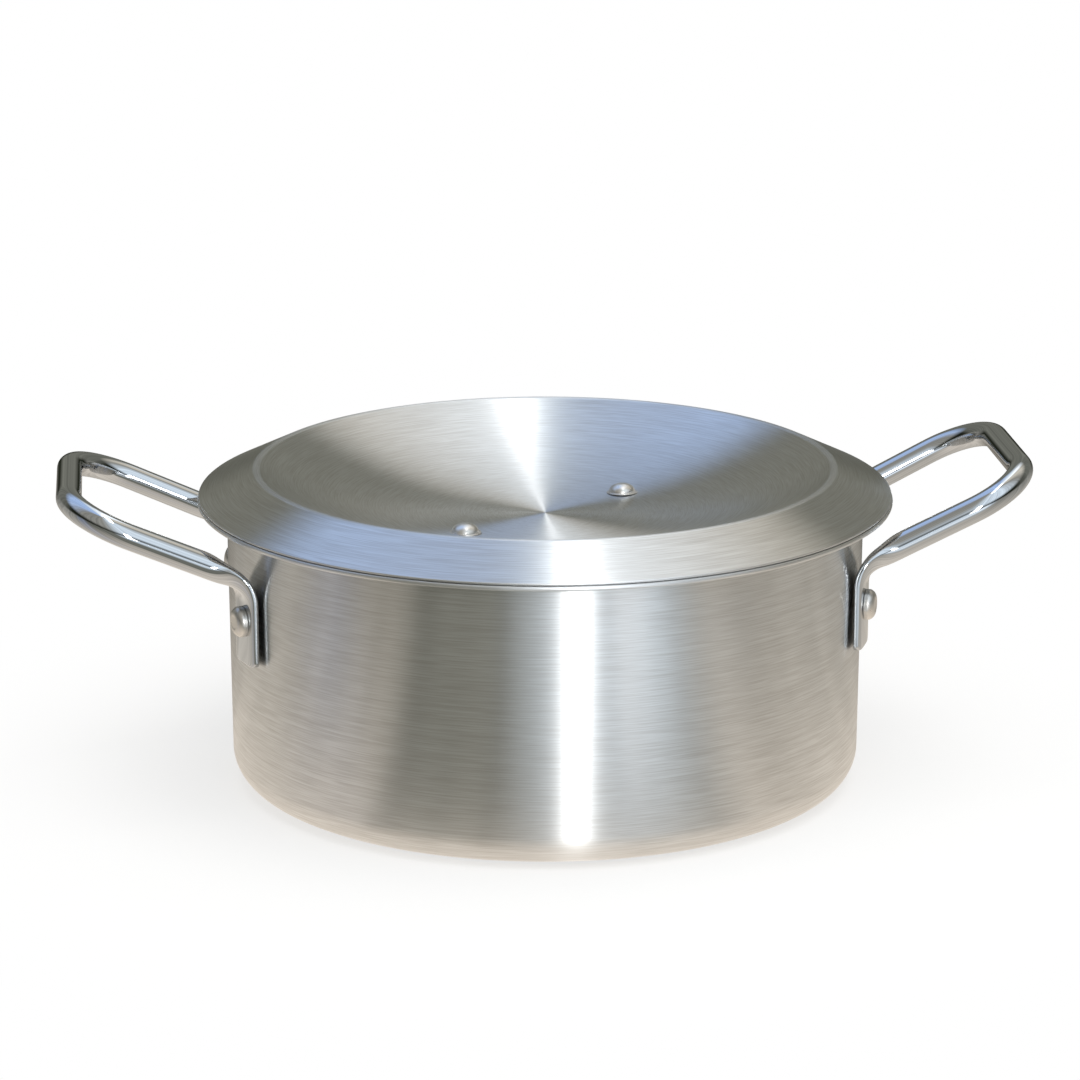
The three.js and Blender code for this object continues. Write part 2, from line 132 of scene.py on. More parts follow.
class LidHandleSizes(bpy.types.PropertyGroup):
    tube: length("Tube", "Diameter of the tube", 0.010)
    wall: length("Tube wall", "Wall of the tube", 0.0012)
    overhang: length("Foot overhang", "Length of the foot beyond its rivet", 0.011)
    foot_width: length("Foot width", "Width of the pressed foot", 0.015)
    width: length("Width", "Distance between the uprights", 0.066)
    rise: length("Rise", "Distance from the feet to the bar", 0.042)
    bend_radius: length("Bend radius", "Radius of the bend above a foot", 0.008)
    corner_radius: length("Corner radius", "Radius of the bar's corners", 0.014)
    flattening: length("Flattening", "How far the flattening runs past the bend", 0.005)


class RivetSizes(bpy.types.PropertyGroup):
    below_bend: length("Below bend", "Distance of a handle rivet below the bend", 0.018)
    head_radius: length("Head radius", "Radius of a handle rivet's head", 0.0067)
    head_height: length("Head height", "Height of a handle rivet's head", 0.0044)
    tail_radius: length("Tail radius", "Radius of a rivet's tail", 0.006)
    tail_height: length("Tail height", "Height of a rivet's tail", 0.002)
    lid_spacing: length("Lid rivet spacing", "Distance between the lid's rivets", 0.098)
    dome_radius: length("Dome radius", "Radius of a lid rivet's dome", 0.0062)
    dome_height: length("Dome height", "Height of a lid rivet's dome", 0.0042)


class Finishes(bpy.types.PropertyGroup):
    aluminium: colour("Aluminium", "Bright lines of the spun sheet", "#E7E8E8")
    aluminium_dark: colour("Dull aluminium", "Dull lines of the spun sheet", "#D5D4D2")
    chrome: colour("Chrome", "Plated tube", "#C1C4C7")
    rivet: colour("Rivet", "Rivet aluminium", "#D6D3CE")
    spun_roughness: factor("Spun roughness", "Roughness of the spun sheet", 0.33)
    spun_grain: factor("Spun grain", "How far its highlights stretch across the lines", 1.0)
    worn_roughness: factor("Worn roughness", "Roughness of the sheet's bent edges", 0.42)
    worn_grain: factor("Worn grain", "How far highlights stretch on the bent edges", 0.7)
    chrome_roughness: factor("Chrome roughness", "Roughness of the plated tube", 0.04)
    rivet_roughness: factor("Rivet roughness", "Roughness of the rivets", 0.34)


class StudioSettings(bpy.types.PropertyGroup):
    distance: length("Distance", "From the camera to the middle of the pot", 1.893)
    target_height: length("Target height", "Height of the point that the camera goes round", 0.0667)
    elevation: angle("Elevation", "Height of the camera above the horizon", 16.43)
    azimuth: angle("Azimuth", "Turn of the camera about the pot", -5.67)
    pitch: angle("Pitch", "Downward tilt of the camera", 15.31)
    heading: angle("Heading", "Turn of the camera about its own place", -5.60)
    focal: bpy.props.FloatProperty(
        name="Focal length", description="In millimetres, on a 36 mm sensor", default=142.02, unit="CAMERA")
    sky: colour("Sky", "Upper part of the surround", "#9DB2D5")
    cloud: colour("Cloud", "White panels, above behind at the right and low beside the viewer", "#F6FAFF")
    warm: colour("Warm sky", "Upper part of the surround, behind at the right", "#BFB8AB")
    haze: colour("Haze", "Pale panels beside the viewer", "#CCD6DF")
    wall: colour("Wall", "Warm panels at the sides", "#817F79")
    dusk: colour("Dusk", "Bluish panel at the left of the viewer", "#767B86")
    ground: colour("Ground", "Lower part of the surround", "#BEB5AA")
    flag: colour("Flag", "Dim panels of the surround", "#61615A")
    trees: colour("Trees", "Darkest panels, along the horizon", "#1C1E17")
    surround: bpy.props.FloatProperty(
        name="Surround", description="Brightness of the surround", default=1.9, min=0)


class CookingPotSettings(bpy.types.PropertyGroup):
    pot: bpy.props.PointerProperty(type=PotSizes)
    lid: bpy.props.PointerProperty(type=LidSizes)
    side_handle: bpy.props.PointerProperty(type=SideHandleSizes)
    lid_handle: bpy.props.PointerProperty(type=LidHandleSizes)
    rivet: bpy.props.PointerProperty(type=RivetSizes)
    finish: bpy.props.PointerProperty(type=Finishes)
    studio: bpy.props.PointerProperty(type=StudioSettings)


# Meshes

RUN_STEP = 0.006  # between the points of a straight run
RUN_LIP = 0.0004  # from a run's ends to its outer points, which keep its shading flat
SHORTEST_RUN = 0.002  # a shorter run needs no points of its own
SPUN_SEGMENTS = 256
CORE_RADIUS = 0.004  # innermost ring of the pot's floor
WORN_RADIUS = 0.006  # edges bent more tightly are worn
TUBE_SIDES = 48
TOLERANCE = 1e-9
SLIT = 0.0002  # between the two walls of a tube that is pressed flat
SLIT_MOUTH = 0.00024  # the same at the cut end
SLIT_DEPTH = 0.002
SLIT_POWER = 6
CUT_LIP = 0.0005  # rounding of a pressed end's edge
ROUND_POWER, FLAT_POWER = 2, 4  # of the superellipses of a round tube and a pressed one
FRONT_DELAY = 6  # keeps the front of a pressed end round for longer than its back
CREASE = 2.6  # pinches the edges beside the swelling of a pressed end
FULL_WIDTH_AT = 0.8  # share of the flattening at which a pressed end has its full width


def smoothstep(value, low, high):
    share = min(max((value - low) / (high - low), 0), 1)
    return share * share * (3 - 2 * share)


def lerp(low, high, share):
    return low + (high - low) * share


def between(count, low, high):
    return [lerp(low, high, i / count) for i in range(count + 1)]


def arc(centre, radius, start, end, count):
    """Points of radius and height on an arc, with angles in degrees."""
    turns = [math.radians(a) for a in between(count, start, end)]
    return [(centre[0] + radius * math.cos(a), centre[1] + radius * math.sin(a)) for a in turns]


def run(start, end):
    """Points inside a straight run, with one close to each end."""
    whole = math.dist(start, end)
    count = max(2, round(whole / RUN_STEP))
    shares = [RUN_LIP / whole] + between(count, 0, 1)[1:-1] + [1 - RUN_LIP / whole]
    return [(lerp(start[0], end[0], s), lerp(start[1], end[1], s)) for s in shares]


def joined(*pieces):
    """A profile of arcs, with straight runs between them."""
    points = list(pieces[0])
    for piece in pieces[1:]:
        if math.dist(points[-1], piece[0]) > SHORTEST_RUN:
            points += run(points[-1], piece[0])
        points += piece
    return points


def ring(radius, height, count):
    """Points on a circle about Z."""
    turns = [2 * math.pi * i / count for i in range(count)]
    return [(radius * math.cos(a), radius * math.sin(a), height) for a in turns]


def new_mesh(name, points, faces=()):
    mesh = bpy.data.meshes.new(name)
    mesh.from_pydata(points, [], faces)
    return mesh


def new_object(data):
    """An object in the scene with the name of its mesh, lamp or camera."""
    obj = bpy.data.objects.new(data.name, data)
    bpy.context.scene.collection.objects.link(obj)
    return obj


def link_piece(mesh, body, nodes, slot, *materials):
    """A finished mesh as a piece of the object, in place of its CAD nodes."""
    piece = new_object(mesh)
    for material in materials:
        mesh.materials.append(material)
    mesh.shade_smooth()
    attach(piece, body)
    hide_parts(*nodes)


def spun_mesh(name, profile):
    """A closed profile turned about Z, from the axis and back to it. In its UV map, U goes once round and V
    is the distance along the profile in metres. Worn edges take the second material."""
    travelled = [0.0]
    for before, point in zip(profile, profile[1:]):
        travelled.append(travelled[-1] + math.dist(before, point))
    count = SPUN_SEGMENTS
    points = [(0, 0, profile[0][1])]
    for radius, height in profile[1:-1]:
        points += ring(radius, height, count)
    points.append((0, 0, profile[-1][1]))

    def corner(row, i):
        return 1 + (row - 1) * count + i % count

    last = len(profile) - 2
    faces, uvs = [], []
    for i in range(count):
        u, v = i / count, (i + 1) / count
        faces.append((0, corner(1, i + 1), corner(1, i)))
        uvs += [(u, 0), (v, travelled[1]), (u, travelled[1])]
        for row in range(1, last):
            low, high = travelled[row:row + 2]
            faces.append((corner(row, i), corner(row, i + 1), corner(row + 1, i + 1), corner(row + 1, i)))
            uvs += [(u, low), (v, low), (v, high), (u, high)]
        faces.append((corner(last, i), corner(last, i + 1), len(points) - 1))
        uvs += [(u, travelled[last]), (v, travelled[last]), (u, travelled[-1])]
    mesh = new_mesh(name, points, faces)
    layer = mesh.uv_layers.new(name="spun")
    layer.data.foreach_set("uv", [value for pair in uvs for value in pair])
    bends = [0.0]
    for before, point, after in zip(profile, profile[1:], profile[2:]):
        arrival, departure = Vector(point) - Vector(before), Vector(after) - Vector(point)
        bends.append(2 * arrival.angle(departure) / (arrival.length + departure.length))
    worn = [int(min(bends[row:row + 2]) * WORN_RADIUS > 1) for row in range(1, last)]
    mesh.polygons.foreach_set("material_index", ([0] + worn + [0]) * count)
    return mesh


class BentLine:
    """Centreline of half a handle: straight runs between corners, joined by bends."""

    def __init__(self, corners, radii):
        self.parts = []
        self.ends = []
        start = corners[0]
        for i, radius in enumerate(radii):
            before = (corners[i + 1] - corners[i]).normalized()
            after = (corners[i + 2] - corners[i + 1]).normalized()
            turn = before.angle(after)
            setback = radius * math.tan(turn / 2)
            bend_start = corners[i + 1] - before * setback
            axis = before.cross(after).normalized()
            arm = before.cross(axis) * radius
            self.add((bend_start - start).length, start, before)
            self.add(radius * turn, bend_start, before, axis, arm, turn)
            start = corners[i + 1] + after * setback
        self.add((corners[-1] - start).length, start, (corners[-1] - start).normalized())

    def add(self, size, *part):
        self.parts.append((size, part))
        self.ends.append(size + (self.ends[-1] if self.ends else 0))

    def at(self, distance):
        """Point and heading at a distance from the start."""
        for size, (start, heading, *bend) in self.parts:
            if distance <= size + TOLERANCE:
                break
            distance -= size
        if not bend:
            return start + heading * distance, heading
        axis, arm, turn = bend
        turned = Quaternion(axis, turn * distance / size)
        return start - arm + turned @ arm, turned @ heading


def bulge(value, power):
    """A coordinate on a superellipse, which is squarer the higher its power."""
    return math.copysign(abs(value) ** (2 / power), value)


def tube_section(half_width, front, back, front_power, back_power):
    """Points across and through a tube that is partly pressed flat, as two halves of superellipses."""
    points = []
    for i in range(TUBE_SIDES):
        turn = 2 * math.pi * i / TUBE_SIDES
        depth, power = (front, front_power) if i < TUBE_SIDES / 2 else (back, back_power)
        points.append((half_width * bulge(math.cos(turn), power), depth * bulge(math.sin(turn), power)))
    return points


def sunk(rounding, distance):
    """How far a rounded edge lies back at a distance from the end."""
    return rounding - math.sqrt(rounding ** 2 - max(rounding - distance, 0) ** 2)


def tube_handle_mesh(
        name, corners, radii, face_normal, tube, wall, pressed_width, corner, flat_length, past_bend):
    """A tube bent along half a line and mirrored across Y, with its ends pressed flat. Beside the swelling of
    each pressed end its edges are pinched, and the cut end shows the slit between the tube's two walls."""
    line = BentLine(corners, radii)
    seat_end, bend_end, corner_start, corner_end, middle = line.ends
    round_start = bend_end + past_bend
    pressed_half = wall + SLIT / 2
    stations = [CUT_LIP * (1 - math.cos(a)) for a in between(4, 0, math.pi / 2)]
    stations += [CUT_LIP + (corner - CUT_LIP) * (1 - math.cos(a)) for a in between(10, 0, math.pi / 2)][1:]
    for count, start, end in (
            (4, corner, flat_length), (44, flat_length, round_start), (6, round_start, corner_start),
            (20, corner_start, corner_end), (4, corner_end, middle)):
        stations += between(count, start, end)[1:]
    front = face_normal.normalized()
    start, previous = line.at(0)
    side = front.cross(previous)
    half_slit = pressed_width / 2 - corner - SLIT
    slit = tube_section(half_slit, SLIT_MOUTH / 2, SLIT_MOUTH / 2, SLIT_POWER, SLIT_POWER)
    rings = [[start + previous * depth + side * x + front * y for x, y in slit] for depth in (SLIT_DEPTH, 0)]
    for distance in stations:
        centre, heading = line.at(distance)
        front = previous.rotation_difference(heading) @ front
        front = (front - heading * front.dot(heading)).normalized()
        previous = heading
        side = front.cross(heading)
        flat = 1 - smoothstep(distance, flat_length, round_start)
        on_seat = 1 - smoothstep(distance, seat_end, round_start)
        thickness = pressed_half - sunk(CUT_LIP, distance)
        swell = (1 - flat) * (tube / 2 - pressed_half)
        width = lerp(tube, pressed_width, smoothstep(flat, 0, FULL_WIDTH_AT))
        section = tube_section(
            width / 2 - sunk(corner, distance),
            thickness + swell * (1 + on_seat), thickness + swell * (1 - on_seat),
            lerp(ROUND_POWER, FLAT_POWER, flat ** FRONT_DELAY) - CREASE * flat * (1 - flat),
            lerp(ROUND_POWER, FLAT_POWER, flat))
        rings.append([centre + side * x + front * y for x, y in section])
    mirrored = [[Vector((p.x, -p.y, p.z)) for p in ring] for ring in reversed(rings[:-1])]
    return loft_mesh(name, rings + mirrored)


def bands(rings, sides):
    """Faces between rings of points that follow each other."""
    faces = []
    for row in range(rings - 1):
        for i in range(sides):
            a, b = row * sides + i, row * sides + (i + 1) % sides
            faces.append((a, b, b + sides, a + sides))
    return faces


def loft_mesh(name, rings):
    """A closed skin over rings of equal count, with outward faces."""
    sides = len(rings[0])
    points = [point for ring in rings for point in ring]
    faces = [tuple(range(sides))[::-1], tuple(len(points) - sides + i for i in range(sides))]
    faces += bands(len(rings), sides)
    mesh = new_mesh(name, points, faces)
    volume = 0
    for face in faces:
        first, *rest = [points[i] for i in face]
        volume += sum(first.dot(second.cross(third)) for second, third in zip(rest, rest[1:]))
    if volume < 0:
        mesh.flip_normals()
    return mesh


# Materials

MM_PER_METRE = 1000  # for scales that are worked out from sizes in millimetres
BROAD_SHARE = 0.06  # of the roller's marks, beside the brushing
SPUN_SPREAD = 0.02  # how far the spun sheet's roughness changes from line to line
QUARTER_TURN = 0.25  # turns the stretch of highlights across the lines
NOISE_RANGE = {"From Min": 0.3, "From Max": 0.7}  # where most values of a noise lie


def add(tree, kind, inputs=None, **settings):
    """A node with its settings. An input is a value, an output of another node, or a node, which gives its
    first output in use."""
    node = tree.nodes.new(kind)
    for name, value in settings.items():
        setattr(node, name, value)
    for key, value in (inputs or {}).items():
        if isinstance(value, bpy.types.Node):
            value = next(output for output in value.outputs if output.enabled)
        if isinstance(value, bpy.types.NodeSocket):
            tree.links.new(value, node.inputs[key])
        else:
            node.inputs[key].default_value = value
    return node


def new_material(name):
    material = bpy.data.materials.new(name)
    material.use_nodes = True
    material.node_tree.nodes.clear()
    return material, material.node_tree


def surface(tree, shader):
    add(tree, "ShaderNodeOutputMaterial", {"Surface": shader})


def brushed_sheet(name, finish, roughness, grain):
    """Aluminium sheet with fine lines that run round the axis, so every highlight stretches across them."""
    material, tree = new_material(name)
    uv = add(tree, "ShaderNodeUVMap", uv_map="spun")
    split = add(tree, "ShaderNodeSeparateXYZ", {0: uv}).outputs
    turn = add(tree, "ShaderNodeMath", {0: split["X"], 1: 2 * math.pi}, operation="MULTIPLY")
    cos = add(tree, "ShaderNodeMath", {0: turn}, operation="COSINE")
    sin = add(tree, "ShaderNodeMath", {0: turn}, operation="SINE")
    lines = []
    # Line spacing in mm and how often a line changes on its way round: the real brushing is about 0.2 mm
    # apart, drawn coarser so that it shows in the render, between broader marks of the spinning roller.
    for spacing, around in ((0.5, 6.0), (4.0, 1.2)):
        place = add(tree, "ShaderNodeCombineXYZ", {
            axis: add(tree, "ShaderNodeMath", {0: value, 1: scale}, operation="MULTIPLY")
            for axis, value, scale in (
                ("X", cos, around), ("Y", sin, around), ("Z", split["Y"], MM_PER_METRE / spacing))})
        lines.append(add(tree, "ShaderNodeTexNoise", {
            "Vector": place, "Scale": 1.0, "Detail": 2.0, "Roughness": 0.6}))
    fine, broad = lines
    both = add(tree, "ShaderNodeMix", {"Factor": BROAD_SHARE, "A": fine, "B": broad})
    dullness = add(tree, "ShaderNodeMapRange", {"Value": both, "From Min": 0.35, "From Max": 0.65})
    tint = add(tree, "ShaderNodeMix", {
        "Factor": dullness, "A": finish.aluminium, "B": finish.aluminium_dark}, data_type="RGBA")
    rough = add(tree, "ShaderNodeMapRange", {
        "Value": both, **NOISE_RANGE, "To Min": roughness - SPUN_SPREAD, "To Max": roughness + SPUN_SPREAD})
    bump = add(tree, "ShaderNodeBump", {"Strength": 0.1, "Distance": 0.00006, "Height": fine})
    tangent = add(tree, "ShaderNodeTangent", direction_type="UV_MAP", uv_map="spun")
    shader = add(tree, "ShaderNodeBsdfPrincipled", {
        "Base Color": tint, "Metallic": 1.0, "Roughness": rough, "Normal": bump, "Tangent": tangent,
        "Anisotropic": grain, "Anisotropic Rotation": QUARTER_TURN})
    surface(tree, shader)
    return material


def spun_aluminium(name, finish):
    """Aluminium sheet spun on a lathe and then brushed while it turned, which leaves upright streaks of light
    on the wall and a bow tie on the lid."""
    return brushed_sheet(name, finish, finish.spun_roughness, finish.spun_grain)


def worn_aluminium(name, finish):
    """The same sheet where it is bent tightly. Handling has dulled these edges, which scatter light to more
    sides and show as pale lines."""
    return brushed_sheet(name, finish, finish.worn_roughness, finish.worn_grain)


def mottled_metal(name, tint, roughness, patches, dents, strength, depth):
    """Metal whose roughness goes between two values in soft patches, with shallow dents in its face. Patches
    and dents are a size in mm and the detail of their noise."""
    material, tree = new_material(name)
    place = add(tree, "ShaderNodeTexCoord").outputs["Object"]
    patch, dent = [
        add(tree, "ShaderNodeTexNoise", {"Vector": place, "Scale": MM_PER_METRE / size, "Detail": detail})
        for size, detail in (patches, dents)]
    rough = add(tree, "ShaderNodeMapRange", {
        "Value": patch, **NOISE_RANGE, "To Min": roughness[0], "To Max": roughness[1]})
    bump = add(tree, "ShaderNodeBump", {"Strength": strength, "Distance": depth, "Height": dent})
    shader = add(tree, "ShaderNodeBsdfPrincipled", {
        "Base Color": tint, "Metallic": 1.0, "Roughness": rough, "Normal": bump})
    surface(tree, shader)
    return material


def chromed_steel(name, finish):
    """Bent steel tube with a bright chrome plate. It mirrors its surroundings, a little softened by hazy
    patches of polishing marks and by the slight orange peel of the plate."""
    rough = finish.chrome_roughness
    return mottled_metal(
        name, finish.chrome, (rough - 0.02, rough + 0.04), patches=(9, 3.0), dents=(4, 2.0), strength=0.03,
        depth=0.0001)


def rivet_aluminium(name, finish):
    """Soft aluminium headed under a snap tool: satin, with dull spots and small dents from the blows."""
    rough = finish.rivet_roughness
    return mottled_metal(
        name, finish.rivet, (rough - 0.08, rough + 0.14), patches=(2.2, 4.0), dents=(2.2, 4.0), strength=0.25,
        depth=0.0003)


# Name of each finish's material, and the function that makes it
FINISHES = {
    "spun_aluminium": ("aluminium_spun_and_brushed", spun_aluminium),
    "worn_aluminium": ("aluminium_edge_worn", worn_aluminium),
    "chromed_tube": ("steel_tube_chromed", chromed_steel),
    "rivet_aluminium": ("aluminium_rivet_headed", rivet_aluminium),
}


def finish_for(key, settings):
    """The material of a finish, made once."""
    name, make = FINISHES[key]
    return bpy.data.materials.get(name) or make(name, settings.finish)


def sheet_finishes(settings):
    """Materials of a spun sheet: its open faces and its worn edges."""
    return [finish_for(key, settings) for key in ("spun_aluminium", "worn_aluminium")]


# Pieces

# Points along the rounds of the profiles
FOOT_POINTS, INNER_BEND_POINTS, OUTER_BEND_POINTS, RIM_EDGE_POINTS = 16, 8, 10, 5
LID_EDGE_POINTS, CREST_POINTS, DISH_POINTS = 8, 18, 36
# Shares at which rings lie along the lid's bevel and from the edge of its flat middle to the axis
BEVEL_SHARES = (0, 0.01, 0.1, 0.25, 0.5, 0.75, 0.9, 0.985)
MIDDLE_SHARES = (0.98, 0.8, 0.6, 0.4, 0.2, 0.05)
LID_EDGE_BULGE = 0.8  # how far the lid's rounded edge stands out, as a share of half the sheet


class COOKINGPOT_OT_body(bpy.types.Operator):
    """Turn the pot from its profile: floor, rounded foot, wall and flat rim"""

    bl_idname = "cooking_pot.body"
    bl_label = "Pot body"

    def execute(self, context):
        settings = context.scene.cooking_pot
        pot = settings.pot
        foot = pot.radius - pot.draft - pot.foot_radius
        bend = pot.radius + pot.rim_bend
        underside = pot.height - pot.sheet
        edge = pot.rim_radius - pot.rim_edge
        inside = pot.foot_radius - pot.sheet
        profile = joined(
            [(0, 0), (CORE_RADIUS, 0)],
            arc((foot, pot.foot_radius), pot.foot_radius, -90, 0, FOOT_POINTS),
            arc((bend, underside - pot.rim_bend), pot.rim_bend, 180, 90, INNER_BEND_POINTS),
            arc((edge, underside + pot.rim_edge), pot.rim_edge, -90, 0, RIM_EDGE_POINTS),
            arc((edge, pot.height - pot.rim_edge), pot.rim_edge, 0, 90, RIM_EDGE_POINTS),
            arc((bend, underside - pot.rim_bend), pot.rim_bend + pot.sheet, 90, 180, OUTER_BEND_POINTS),
            arc((foot, pot.floor + inside), inside, 0, -90, FOOT_POINTS),
            [(CORE_RADIUS, pot.floor), (0, pot.floor)],
        )
        mesh = spun_mesh("pot_body_spun", profile)
        link_piece(mesh, POT_BODY, ["pot_body"], "spun_aluminium", *sheet_finishes(settings))
        return {"FINISHED"}


def lid_face(lid):
    """Points and normals of the lid's upper face, from its edge to the axis: bevel, crest, dish and flat
    middle."""
    centre = Vector((lid.crest_radius, lid.crest_height - lid.crest_round))
    edge = Vector((lid.edge_radius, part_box("pot_body")[1].z + lid.seat_gap))
    to_edge = edge - centre
    bevel = math.atan2(to_edge.y, to_edge.x) + math.acos((lid.crest_round - lid.sheet) / to_edge.length)
    dish = math.pi / 2 + lid.dish_angle
    top = centre + lid.crest_round * Vector((math.cos(dish), math.sin(dish)))
    dish_run = 2 * (top.y - lid.dish_floor) / math.tan(lid.dish_angle)
    bevel_normal = Vector((math.cos(bevel), math.sin(bevel)))
    bevel_top = centre + lid.crest_round * bevel_normal
    bevel_end = edge + lid.sheet * bevel_normal
    face = [(lerp(bevel_end, bevel_top, share), bevel_normal) for share in BEVEL_SHARES]
    for turn in between(CREST_POINTS, bevel, dish):
        normal = Vector((math.cos(turn), math.sin(turn)))
        face.append((centre + lid.crest_round * normal, normal))
    for share in between(DISH_POINTS, 1, 0)[1:]:
        slope = math.tan(lid.dish_angle) * share
        point = Vector((top.x - (1 - share) * dish_run, lid.dish_floor + slope * share * dish_run / 2))
        face.append((point, Vector((-slope, 1)).normalized()))
    middle_radius = face[-1][0].x
    for share in MIDDLE_SHARES:
        face.append((Vector((middle_radius * share, lid.dish_floor)), Vector((0, 1))))
    return face


class COOKINGPOT_OT_lid(bpy.types.Operator):
    """Turn the lid, as it lies upside down: resting edge, bevel, crest and dish"""

    bl_idname = "cooking_pot.lid"
    bl_label = "Lid"

    def execute(self, context):
        settings = context.scene.cooking_pot
        lid = settings.lid
        face = lid_face(lid)
        end, across = face[0]
        outward = Vector((across.y, -across.x))
        lip = lid.sheet / 2
        middle = end - across * lip
        upper = [tuple(point) for point, normal in face]
        lower = [tuple(point - lid.sheet * normal) for point, normal in face]
        edge = [
            tuple(middle + lip * (outward * math.cos(a) * LID_EDGE_BULGE + across * math.sin(a)))
            for a in between(LID_EDGE_POINTS, -math.pi / 2, math.pi / 2)][1:-1]
        profile = [(0, lower[-1][1])] + lower[::-1] + edge + upper + [(0, upper[-1][1])]
        mesh = spun_mesh("lid_spun", profile)
        link_piece(mesh, LID_BODY, ["lid"], "spun_aluminium", *sheet_finishes(settings))
        return {"FINISHED"}


def strap_place(settings):
    """Direction of a strap from the pot's axis, and the distance of the strap's back from the axis."""
    pot, handle = settings.pot, settings.side_handle
    wall_top = pot.height - pot.sheet - pot.rim_bend
    rise = (handle.bend_height - pot.foot_radius) / (wall_top - pot.foot_radius)
    back = pot.radius - pot.draft * (1 - rise) + settings.lid.seat_gap
    turn = math.asin(handle.strap_spacing / 2 / (back + handle.wall + SLIT / 2))
    return turn, back


class COOKINGPOT_OT_side_handles(bpy.types.Operator):
    """Bend the two loops of tube and press their ends flat against the wall"""

    bl_idname = "cooking_pot.side_handles"
    bl_label = "Side handles"

    def execute(self, context):
        settings = context.scene.cooking_pot
        handle, rivet = settings.side_handle, settings.rivet
        turn, back = strap_place(settings)
        outward = Vector((math.cos(turn), math.sin(turn), 0))
        strap = outward * (back + handle.wall + SLIT / 2)
        for name, tilt, half_turn in (("right", handle.tilt_right, 0), ("left", handle.tilt_left, math.pi)):
            bar = (handle.reach - strap.x) * Vector((math.cos(tilt), 0, math.sin(tilt)))
            bar += Vector((strap.x, 0, handle.bend_height))
            corners = [
                Vector((strap.x, strap.y, handle.bend_height - handle.strap_length)),
                Vector((strap.x, strap.y, handle.bend_height)),
                bar + Vector((0, handle.loop_width / 2, 0)),
                bar,
            ]
            mesh = tube_handle_mesh(
                f"handle_{name}_tube", corners, [handle.bend_radius, handle.corner_radius], outward,
                handle.tube, handle.wall, handle.strap_width, handle.strap_corner,
                handle.strap_length - rivet.below_bend + rivet.head_radius, handle.flattening)
            mesh.transform(Matrix.Rotation(half_turn, 4, "Z"))
            link_piece(
                mesh, POT_BODY, [f"handle_{name}"], "chromed_tube", finish_for("chromed_tube", settings))
        return {"FINISHED"}


class COOKINGPOT_OT_lid_handle(bpy.types.Operator):
    """Bend the lid's handle, which hangs inside the pot while the lid lies upside down"""

    bl_idname = "cooking_pot.lid_handle"
    bl_label = "Lid handle"

    def execute(self, context):
        settings = context.scene.cooking_pot
        lid, handle, rivet = settings.lid, settings.lid_handle, settings.rivet
        foot = lid.dish_floor - lid.sheet - lid.seat_gap - handle.wall - SLIT / 2
        corners = [
            Vector((0, rivet.lid_spacing / 2 + handle.overhang, foot)),
            Vector((0, handle.width / 2, foot)),
            Vector((0, handle.width / 2, foot - handle.rise)),
            Vector((0, 0, foot - handle.rise)),
        ]
        mesh = tube_handle_mesh(
            "lid_handle_tube", corners, [handle.bend_radius, handle.corner_radius], Vector((0, 0, -1)),
            handle.tube, handle.wall, handle.foot_width, settings.side_handle.strap_corner,
            handle.overhang + rivet.tail_radius, handle.flattening)
        mesh.transform(Matrix.Rotation(lid.turn - math.pi / 2, 4, "Z"))
        link_piece(mesh, LID_BODY, ["lid_handle"], "chromed_tube", finish_for("chromed_tube", settings))
        return {"FINISHED"}


# Rivets

RIVET_SEGMENTS = 40
RIVET_ROWS = 72
MERGE_DISTANCE = 1e-6
SPIN_SEED, LEAN_SEED = 4, 7
HANDLE_RIVET_LEAN, LID_RIVET_LEAN = 0.03, 0.08  # how unevenly the heads sit, in radians
TAIL_SINK = 0.0006  # of the handle rivets' seats inside, from the wall's inner face at its top, for the draft
DOME_LIFT = 0.0003  # of the lid rivets' collars above the dish
COLLAR_SHARE = 1.12  # radius of a lid rivet's collar, as a share of the plain dome's


def rivet_end(tree, profile, radius, height):
    """One end of a rivet in a node tree: a disc that follows a profile of radius and height shares, from the
    middle of its top to the middle of its underside."""
    grid = add(tree, "GeometryNodeMeshGrid", {
        "Size X": 1.0, "Size Y": 1.0, "Vertices X": RIVET_SEGMENTS + 1, "Vertices Y": RIVET_ROWS})
    place = add(tree, "ShaderNodeSeparateXYZ", {0: add(tree, "GeometryNodeInputPosition")}).outputs
    turn = add(tree, "ShaderNodeMath", {0: place["X"], 1: -2 * math.pi}, operation="MULTIPLY")
    share = add(tree, "ShaderNodeMath", {0: place["Y"], 1: 0.5}, operation="ADD")
    shape = []
    for column, size in ((0, radius), (1, height)):
        curve = add(tree, "ShaderNodeFloatCurve", {"Value": share})
        points = curve.mapping.curves[0].points
        points[0].location = (0, profile[0][column])
        points[1].location = (1, profile[-1][column])
        for i, row in enumerate(profile[1:-1], 1):
            points.new(i / (len(profile) - 1), row[column])
        for point in points:
            point.handle_type = "VECTOR"
        curve.mapping.update()
        shape.append(add(tree, "ShaderNodeMath", {0: curve, 1: size}, operation="MULTIPLY"))
    position = {"Z": shape[1]}
    for axis, operation in (("X", "COSINE"), ("Y", "SINE")):
        part = add(tree, "ShaderNodeMath", {0: turn}, operation=operation)
        position[axis] = add(tree, "ShaderNodeMath", {0: part, 1: shape[0]}, operation="MULTIPLY")
    moved = add(tree, "GeometryNodeSetPosition", {
        "Geometry": grid, "Position": add(tree, "ShaderNodeCombineXYZ", position)})
    return add(tree, "GeometryNodeMergeByDistance", {"Geometry": moved, "Distance": MERGE_DISTANCE})


